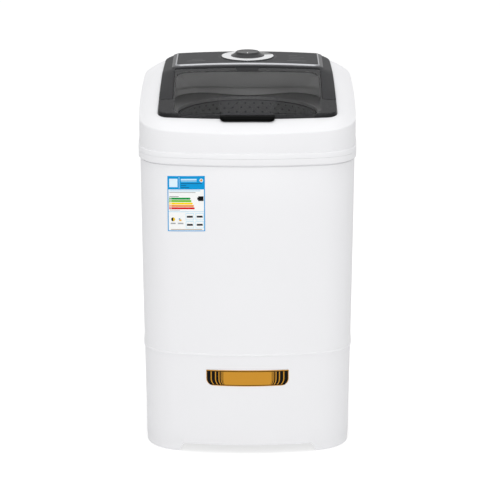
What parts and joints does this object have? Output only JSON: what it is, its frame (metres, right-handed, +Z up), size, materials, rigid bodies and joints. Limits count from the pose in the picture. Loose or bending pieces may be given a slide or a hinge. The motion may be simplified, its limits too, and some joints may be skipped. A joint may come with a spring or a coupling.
{
  "type": "washing machine",
  "caption": "Top-loading washing machine with a moulded white cabinet, smoked hinged lid, timer console, perforated basket, pulsator and belt drive.",
  "frame": {"origin": "on the floor, at the middle of the machine's plan", "axes": "+Z up, the front faces -Y, +X to the right as seen from the front"},
  "size_m": [0.603, 0.589, 1.0455],
  "materials": {
    "white_polypropylene": "satin moulded polypropylene",
    "white_trim": "satin moulded plastic",
    "grey_plastic": "fine grain",
    "liner_grey": "satin",
    "tub_plastic": "natural polypropylene",
    "basket_white": "satin, perforated",
    "pulsator_plastic": "satin",
    "dark_plastic": "dark grey, fine grain",
    "panel_black": "glossy",
    "smoked_plastic": "smoked, translucent",
    "handle_black": "high gloss",
    "knob_plastic": "dark grey",
    "silver_trim": "metallised plastic",
    "steel": "machined",
    "cast_aluminium": "as cast",
    "motor_paint": "dark grey paint",
    "black_rubber": "matt",
    "hose_grey": "matt"
  },
  "bodies": {
    "cabinet": {"base_skirt": "white_polypropylene", "foot_pad_front_left": "black_rubber", "foot_pad_front_right": "black_rubber", "foot_pad_rear_left": "black_rubber", "foot_pad_rear_right": "black_rubber", "cabinet_shell": "white_polypropylene", "rear_cover": "grey_plastic", "seam_band": "white_trim", "top_frame": "white_polypropylene", "console_frame": "dark_plastic", "console_trim": "silver_trim", "control_panel": "panel_black", "dial_ring": "silver_trim", "timer_body": "white_trim", "lid_switch": "dark_plastic", "well_liner": "liner_grey", "tub_cover": "liner_grey", "outer_tub": "tub_plastic", "tub_mount_front_left": "black_rubber", "tub_mount_front_right": "black_rubber", "tub_mount_rear_left": "black_rubber", "tub_mount_rear_right": "black_rubber", "bearing_housing": "cast_aluminium", "bearing_lower": "steel", "bearing_upper": "steel", "shaft_seal": "black_rubber", "chassis_plate": "steel", "motor_bracket": "steel", "motor_housing": "motor_paint", "capacitor": "white_trim", "drive_belt": "black_rubber", "drain_hose": "hose_grey", "drain_outlet": "grey_plastic", "cable_gland": "black_rubber"},
    "lid": {"lid": "smoked_plastic", "lid_handle": "handle_black", "lid_tab": "dark_plastic", "hinge_pin_left": "steel", "hinge_pin_right": "steel"},
    "timer": {"timer_knob": "knob_plastic", "timer_shaft": "steel"},
    "basket": {"spin_basket": "basket_white", "basket_rim": "white_trim", "basket_hub": "steel", "spin_tube": "steel"},
    "agitator": {"pulsator": "pulsator_plastic", "drive_shaft": "steel", "driven_pulley": "cast_aluminium"},
    "motor_rotor": {"motor_shaft": "steel", "motor_pulley": "steel"},
    "switch": {"switch_plunger": "white_trim"}
  },
  "joints": [
    {"name": "lid_hinge", "type": "hinge", "parent": "cabinet", "child": "lid", "pos_m": [0, 0.072, 1.011], "axis": [-1, 0, 0], "range_deg": [0, 95]},
    {"name": "timer_turn", "type": "hinge", "parent": "cabinet", "child": "timer", "pos_m": [0, 0.206, 1.03], "axis": [0, 0, -1], "range_deg": [0, 330]},
    {"name": "basket_spin", "type": "hinge", "parent": "cabinet", "child": "basket", "pos_m": [0, 0, 0.5], "axis": [0, 0, 1], "continuous": true},
    {"name": "pulsator_spin", "type": "hinge", "parent": "cabinet", "child": "agitator", "pos_m": [0, 0, 0.3], "axis": [0, 0, 1], "continuous": true},
    {"name": "motor_spin", "type": "hinge", "parent": "cabinet", "child": "motor_rotor", "pos_m": [0.115, 0.125, 0.1], "axis": [0, 0, 1], "continuous": true},
    {"name": "switch_slide", "type": "slide", "parent": "cabinet", "child": "switch", "axis": [0, 0, 1], "range_m": [0, 0.003]}
  ],
  "couplings": [
    {"joint": "motor_spin", "follows": "pulsator_spin", "ratio": 5.7568},
    {"joint": "switch_slide", "follows": "lid_hinge", "m_per_rad": 0.001809}
  ]
}
